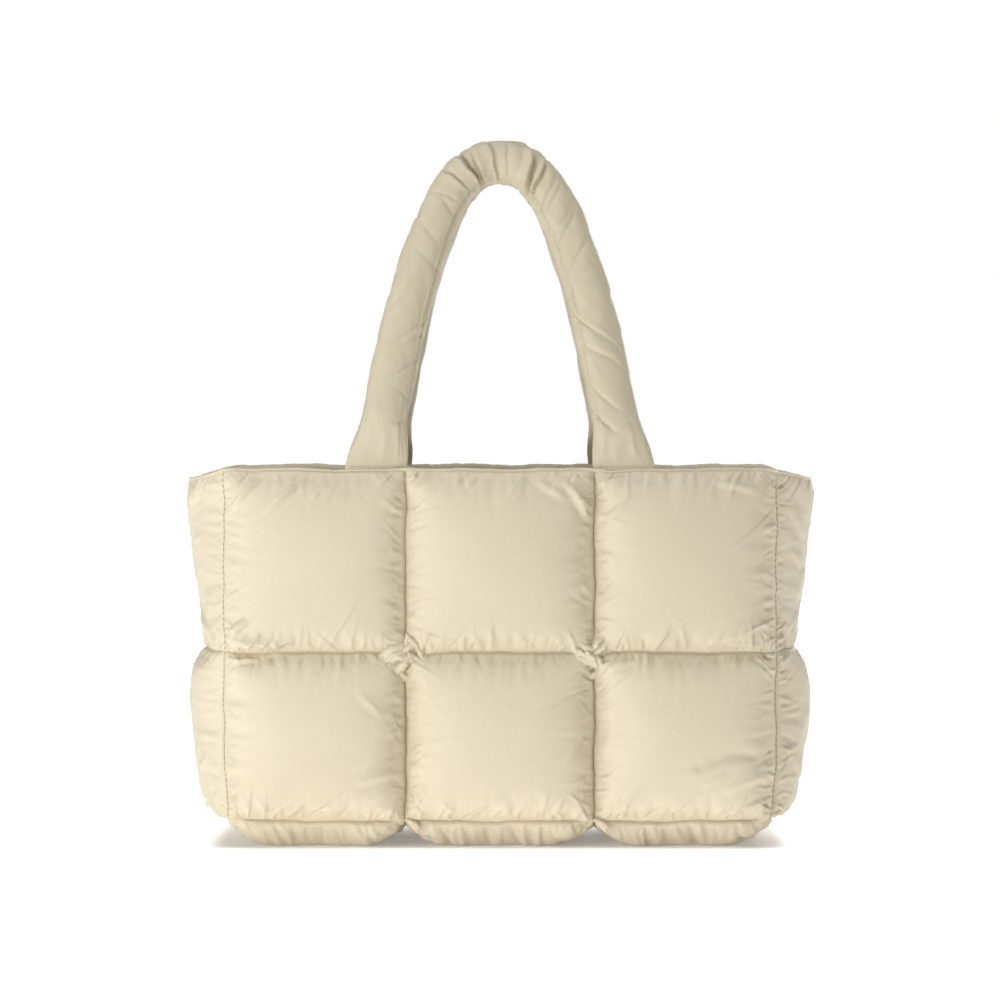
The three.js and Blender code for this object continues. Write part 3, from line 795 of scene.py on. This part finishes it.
# Folds of a handle: share of its length from the left foot, the direction they are deepest in (0 on
# the inside of the arch, -90 in front) and how far round they reach, both in degrees, how far along
# they drift for each radian round, depth, width, and how much one side laps over the other
handleFolds = [
    (0.398, -110, 50, 0.0015, 0.0008, 0.0016, 0.5), (0.428, -110, 55, -0.0010, 0.0020, 0.0011, 1.1),
    (0.452, -80, 88, -0.0008, 0.0046, 0.0013, 1.1), (0.462, -80, 84, -0.0024, 0.0026, 0.0011, -1.0),
    (0.493, -80, 84, 0.0020, 0.0018, 0.0010, 1.1), (0.512, -95, 48, 0.0018, 0.0006, 0.0012, 0.6),
    (0.532, -100, 45, 0.0020, 0.0007, 0.0020, 0.4), (0.556, -80, 90, 0.0076, 0.0052, 0.0014, 1.1),
    (0.571, -80, 88, 0.0066, 0.0034, 0.0012, 1.1), (0.591, -100, 55, 0.0100, 0.0011, 0.0022, 0.5),
    (0.612, -80, 55, 0.0120, 0.0010, 0.0026, 0.5), (0.632, -110, 50, 0.0120, 0.0009, 0.0022, 0.5),
    (0.655, -85, 55, 0.0140, 0.0010, 0.0028, 0.5), (0.690, -105, 50, 0.0150, 0.0009, 0.0026, 0.4),
    (0.735, -60, 45, 0.0100, 0.0010, 0.0022, 0.6), (0.795, -70, 60, -0.0180, 0.0014, 0.0016, 1.2),
    (0.840, -90, 45, -0.0140, 0.0010, 0.0022, 0.5), (0.892, -60, 45, -0.0180, 0.0014, 0.0024, 0.5),
    (0.925, -45, 40, -0.0140, 0.0028, 0.0018, 0.6), (0.942, -100, 35, 0.0060, 0.0012, 0.0018, 0.4),
    (0.380, -60, 45, -0.0080, 0.0010, 0.0020, 0.5), (0.345, -110, 50, -0.0100, 0.0009, 0.0028, 0.4),
    (0.300, -70, 45, -0.0080, 0.0008, 0.0024, 0.5), (0.245, -100, 45, 0.0120, 0.0008, 0.0030, 0.4),
    (0.205, -50, 45, 0.0140, 0.0015, 0.0018, 0.8), (0.196, -35, 35, 0.0120, 0.0013, 0.0014, 0.6),
    (0.150, -50, 45, 0.0140, 0.0014, 0.0018, 0.8), (0.105, -40, 30, -0.0060, 0.0012, 0.0018, 0.4),
    (0.070, -45, 26, 0.0040, 0.0012, 0.0016, 0.4), (0.150, 110, 80, 0.0100, 0.0011, 0.0026, 0.5),
    (0.270, 130, 70, -0.0120, 0.0011, 0.0026, 0.5), (0.380, 110, 80, -0.0080, 0.0014, 0.0022, 0.6),
    (0.437, 95, 90, 0.0040, 0.0028, 0.0017, 0.9), (0.472, 100, 80, -0.0020, 0.0014, 0.0015, 0.8),
    (0.500, 90, 80, 0.0020, 0.0012, 0.0015, -0.8), (0.536, 95, 90, -0.0020, 0.0014, 0.0015, 0.8),
    (0.566, 90, 90, -0.0050, 0.0030, 0.0018, 0.8), (0.640, 100, 80, 0.0080, 0.0013, 0.0024, 0.5),
    (0.730, 120, 80, 0.0120, 0.0012, 0.0026, 0.5), (0.840, 110, 80, -0.0100, 0.0012, 0.0026, 0.5),
]

# Where the lengthwise seam runs: share of the length, and degrees round
handleSeam = [(0.0, -20), (0.15, -38), (0.33, -46), (0.42, -48), (0.60, -50), (0.90, -46), (1.0, -30)]
seamLook = {"pitch": 0.0058, "pucker": 0.00028, "groove": 0.0009, "ridge": 0.0006}


def handlePath():
    footDepth = -bagSize["halfDepth"] + bagSize["wall"] / 2
    foot = settle(np.array([handleLine["span"] / 2, footDepth, bagSize["rim"]]))
    share = np.linspace(-1, 1, 4001)
    rise = 1 - np.abs(share) ** handleLine["arch"]
    lean = (-handleLine["topSpacing"] / 2 - foot[1]) * rise ** handleLine["lean"]
    line = np.stack([share * handleLine["span"] / 2, foot[1] + lean, foot[2] + handleLine["rise"] * rise], -1)
    run = runAlong(line)
    dense = 1 + handleLine["archRings"] * np.exp(-(share / handleLine["archReach"]) ** 4)
    passed = np.concatenate([[0], np.cumsum((dense[1:] + dense[:-1]) / 2 * np.diff(run))])
    at = np.interp(np.linspace(0, passed[-1], handleLine["rings"]), passed, run)  # closer rings at the arch
    return at, run[-1], pointsAt(at, run, line)


def signedPower(value, power):
    return np.sign(value) * np.abs(value) ** power


def makeHandle(name, turn, seed):
    at, length, centre = handlePath()
    ahead = unit(np.gradient(centre, axis=0))
    fromFoot = np.minimum(at, length - at)
    upright = np.zeros_like(ahead)
    upright[:, 2] = np.where(at < length / 2, 1, -1)
    swell = ease(fromFoot, 0, handleLine["footRise"])
    ahead = unit(ahead * swell[:, None] + upright * (1 - swell[:, None]))
    across = unit(np.cross([0, 1, 0], ahead))
    outward = np.cross(ahead, across)
    towardsTop = ease(fromFoot, handleLine["footRise"], length / 2)
    tube = handleLine["midWidth"] + (handleLine["topWidth"] - handleLine["midWidth"]) * towardsTop
    width = handleLine["footWidth"] + (tube - handleLine["footWidth"]) * swell
    thickness = handleLine["footThickness"] + (handleLine["thickness"] - handleLine["footThickness"]) * swell

    angle = np.linspace(0, 2 * math.pi, handleLine["sides"], endpoint=False)
    angle = math.radians(handleLine["seamAngle"]) + angle - 0.5 * np.sin(angle)  # closer beside the seam
    a, s = np.meshgrid(angle, at)
    inwards = np.zeros_like(a)
    inside = np.exp(-(wrapped(a) / handleLine["calmReach"]) ** 2)
    calm = 1 - handleLine["calm"] * inside  # the inner edge stays smooth
    for spot, facing, reach, tilt, depth, wide, lap in handleFolds:
        around = wrapped(a - math.radians(facing))
        strength = np.exp(-(around / math.radians(reach)) ** 4)
        bent = 0.0008 * waver(a * 2.5, spot * 90 + 0 * a, seed)
        off = (s - spot * length - tilt * around + bent) / wide
        over = 0.5 * lap * np.tanh(1.2 * off) * np.exp(-(off / 3.2) ** 2)
        inwards += depth * strength * calm * (np.exp(-np.abs(off) ** 1.6) + over)
    inwards += 0.0007 * waver(s * 45, a * 1.5, seed) + 0.0003 * waver(s * 130 + 2 * a, a * 2.4, seed + 2)
    nearTop = np.exp(-((at - length / 2) / (0.09 * length)) ** 4)[:, None]
    inwards += 0.0002 * nearTop * waver(s * 330 + a * 1.5, a * 2.2 + s * 40, seed + 4)
    seamAngle = np.radians(np.interp(at / length, *zip(*handleSeam)))[:, None]
    offSeam = wrapped(a - seamAngle) * handleLine["midWidth"] / 2
    pucker = np.sin(s * 2 * math.pi / seamLook["pitch"] + 2.5 * waver(s * 50, a * 0, seed))
    pucker = pucker * np.exp(-((offSeam - 0.003) / 0.004) ** 2)
    inwards += seamLook["pucker"] * pucker * (0.6 + 0.6 * waver(s * 30, a * 0, seed + 7))
    groove, ridge = np.exp(-((offSeam - 0.0014) / 0.0009) ** 2), np.exp(-(offSeam / 0.0008) ** 2)
    inwards += seamLook["groove"] * groove - seamLook["ridge"] * ridge
    full = swell[:, None]
    flatness = (1 - full) * ease(s * 0 + fromFoot[:, None], 0.002, 0.014)
    footPleat = 0.0004 * np.sin(a * 11 + seed) * flatness + 0.0005 * waver(a * 7, s * 90, seed + 1) * flatness
    inwards = inwards * (0.25 + 0.75 * full) + footPleat

    halfWide = width[:, None] / 2 - inwards
    halfThick = thickness[:, None] / 2 - inwards * np.minimum(1, thickness[:, None] / 0.012)
    points = (
        centre[:, None]
        + across[:, None] * (halfWide * signedPower(np.cos(a), handleLine["roundness"]))[..., None]
        + outward[:, None] * (halfThick * signedPower(np.sin(a), handleLine["roundness"]))[..., None]
    )
    tucked = points[[0, -1]] - [0, 0, handleLine["tuck"]]  # the feet go down into the rim
    points = np.concatenate([tucked[:1], points, tucked[1:]])
    if turn:
        points = points * [-1, -1, 1]
    piece = meshFrom(name + "_tube", [(points, tubeFaces(*points.shape[:2]))], handleShadedNylon)
    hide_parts(name)
    print("made", piece.name, len(piece.data.polygons))


makeHandle("front_handle", False, 2)
makeHandle("back_handle", True, 9)

stitchLook = {
    "pitch": 0.0040, "length": 0.0028, "radius": 0.00036, "sides": 6, "rings": 5, "proud": 0.0003,
    "arc": 0.0004, "sink": 0.0001, "footMargin": 0.0015, "footHeight": 0.0026,
}


def stitchesAlong(path, outward):  # one short thread after another along a line of points
    rings, sides = stitchLook["rings"], stitchLook["sides"]
    run = runAlong(path)
    starts = np.arange(stitchLook["pitch"] / 2, run[-1] - stitchLook["pitch"], stitchLook["pitch"])
    angle = np.linspace(0, 2 * math.pi, sides, endpoint=False)
    outward = np.array(outward, float) / np.linalg.norm(outward)
    threads = []
    for start in starts:
        low, high = pointsAt(start, run, path), pointsAt(start + stitchLook["length"], run, path)
        ahead = (high - low) / np.linalg.norm(high - low)
        sideways = np.cross(ahead, outward)
        share = np.linspace(0, 1, rings)
        arc = np.sin(math.pi * share)
        above = stitchLook["arc"] * arc - stitchLook["sink"]
        centre = low + (high - low) * share[:, None] + outward * above[:, None]
        radius = (stitchLook["radius"] * (0.45 + 0.55 * arc))[:, None, None]
        ring = radius * (np.cos(angle)[None, :, None] * sideways + np.sin(angle)[None, :, None] * outward)
        threads.append((centre[:, None] + ring, tubeFaces(rings, sides)))
    return threads


def makeStitches():
    threads = []
    proud = stitchLook["proud"]
    up = np.linspace(bagSize["baseSeam"], bagSize["rim"], 160)
    for look in panelLooks.values():
        place, outward = sidePlaces[look["side"]], (*sideOutward[look["side"]], 0)
        across = np.linspace(look["lines"][0], look["lines"][-1], 240)
        _, share, _ = locate(across, look["lines"])
        raised = look["midLift"] * crown(share) + proud
        seams = [place(across, np.full_like(across, bagSize["midSeam"]), raised)]
        seams += [place(np.full_like(up, line), up, np.full_like(up, proud)) for line in look["lines"][1:-1]]
        for seam in seams:
            threads += stitchesAlong(settle(seam), outward)
    for x, y in ((-1, -1), (1, -1), (1, 1), (-1, 1)):
        corner = [np.full_like(up, x * bagSize["halfWidth"]), np.full_like(up, y * bagSize["halfDepth"]), up]
        threads += stitchesAlong(settle(np.stack(corner, -1)) + np.array([x, y, 0]) * proud, (x, y, 0))
    _, _, centre = handlePath()
    half = handleLine["footWidth"] / 2 - stitchLook["footMargin"]
    front = -handleLine["footThickness"] / 2 - proud
    for foot in (centre[0], centre[-1]):
        for side in (1, -1):
            row = [np.linspace(-half, half, 12), np.full(12, front), np.full(12, stitchLook["footHeight"])]
            threads += stitchesAlong((foot + np.stack(row, -1)) * [side, side, 1], (0, -side, 0))
    piece = meshFrom("seam_stitches", threads, stitchThread)
    print("made", piece.name, len(piece.data.polygons))


makeStitches()

# The floor glows; under the bag and close beside it the glow is kept low, as a painted shadow
stageLook = {
    "floor": (0.9, 0.9, 0.91), "paintedShadowGlow": 0.15, "shade": 0.018, "glow": 0.66, "farGlow": 0.99,
    "size": 60.0, "below": 0.0002, "world": 0.07,
}
# Each light: where it is, what it aims at, its size, power, and how wide it spreads in degrees
softBoxes = {
    "key_left": ((-1.7, -0.9, 0.30), (0, 0, 0.2), (0.9, 0.9), 12.5, 180),
    "low_left": ((-0.7, -1.2, 0.06), (0, 0, 0.06), (0.5, 0.1), 4.6, 180),
    "low_strip": ((-0.5, -1.6, 0.06), (0, -0.09, 0.06), (1.2, 0.06), 0.056, 12),
    "top_soft": ((0, -0.4, 2.2), (0, 0, 0.1), (2.0, 1.6), 27.0, 180),
    "back_soft": ((0.5, 2.3, 0.9), (0, 0, 0.2), (1.8, 1.2), 30.0, 180),
    "right_soft": ((2.0, 0.5, 0.45), (0, 0, 0.15), (0.9, 0.7), 6.0, 180),
}


def makeStage():
    size = stageLook["size"]
    mesh = bpy.data.meshes.new("studio_floor")
    corners = [(-size, -size, 0), (size, -size, 0), (size, size, 0), (-size, size, 0)]
    mesh.from_pydata(corners, [], [(0, 1, 2, 3)])
    floor = addObject("studio_floor", mesh)
    floor.location.z = -stageLook["below"]
    material = bpy.data.materials.new("studio_floor")
    material.use_nodes = True
    nodes, links = material.node_tree.nodes, material.node_tree.links
    shader = nodes["Principled BSDF"]
    fillIn(shader, {"Base Color": (*stageLook["floor"], 1), "Roughness": 0.6, "Emission Color": (1, 1, 1, 1)})
    place = nodes.new("ShaderNodeTexCoord")
    source = place.outputs["Object"]
    footprint = (bagSize["halfWidth"], bagSize["halfDepth"], 0)
    for operation, value in (("ABSOLUTE", None), ("SUBTRACT", footprint), ("MAXIMUM", (0, 0, 0))):
        step = nodes.new("ShaderNodeVectorMath")
        step.operation = operation
        links.new(source, step.inputs[0])
        if value:
            step.inputs[1].default_value = value
        source = step.outputs["Vector"]
    distance = nodes.new("ShaderNodeVectorMath")  # how far from the bottom of the bag
    distance.operation = "LENGTH"
    links.new(source, distance.inputs[0])
    total = nodes.new("ShaderNodeMath")  # the floor glows as a light from below; the glow is dimmed under the bag and close beside it as a painted shadow, and is nearly white further off
    for number, (near, far, least, most) in enumerate((
        (0.002, stageLook["shade"], stageLook["paintedShadowGlow"], stageLook["glow"]),
        (0.4, 2.8, 0, stageLook["farGlow"] - stageLook["glow"]),
    )):
        glow = remapped(material.node_tree, distance.outputs["Value"], least, most, near, far)
        links.new(glow, total.inputs[number])
    links.new(total.outputs["Value"], shader.inputs["Emission Strength"])
    mesh.materials.append(material)


def makeWorld():
    world = bpy.data.worlds.new("studio")
    world.use_nodes = True
    nodes, links = world.node_tree.nodes, world.node_tree.links
    background = nodes["Background"]
    background.inputs["Color"].default_value = (1, 1, 1, 1)
    path = nodes.new("ShaderNodeLightPath")
    strength = remapped(world.node_tree, path.outputs["Is Camera Ray"], stageLook["world"], 1.0)
    links.new(strength, background.inputs["Strength"])  # white behind the bag, softer as a light on it
    scene.world = world


def softBox(name, place, aim, size, power, spread):
    light = bpy.data.lights.new(name, "AREA")
    light.shape = "RECTANGLE"
    light.size, light.size_y = size
    light.energy = power
    light.spread = math.radians(spread)
    holder = addObject(name, light)
    holder.location = place
    direction = np.array(aim, float) - np.array(place, float)
    flat = math.hypot(direction[0], direction[1])
    holder.rotation_euler = (math.atan2(flat, -direction[2]), 0, math.atan2(-direction[0], direction[1]))


makeStage()
makeWorld()
for lightName, lightSetup in softBoxes.items():
    softBox(lightName, *lightSetup)
scene.view_settings.view_transform = "Standard"
print("lit the stage")
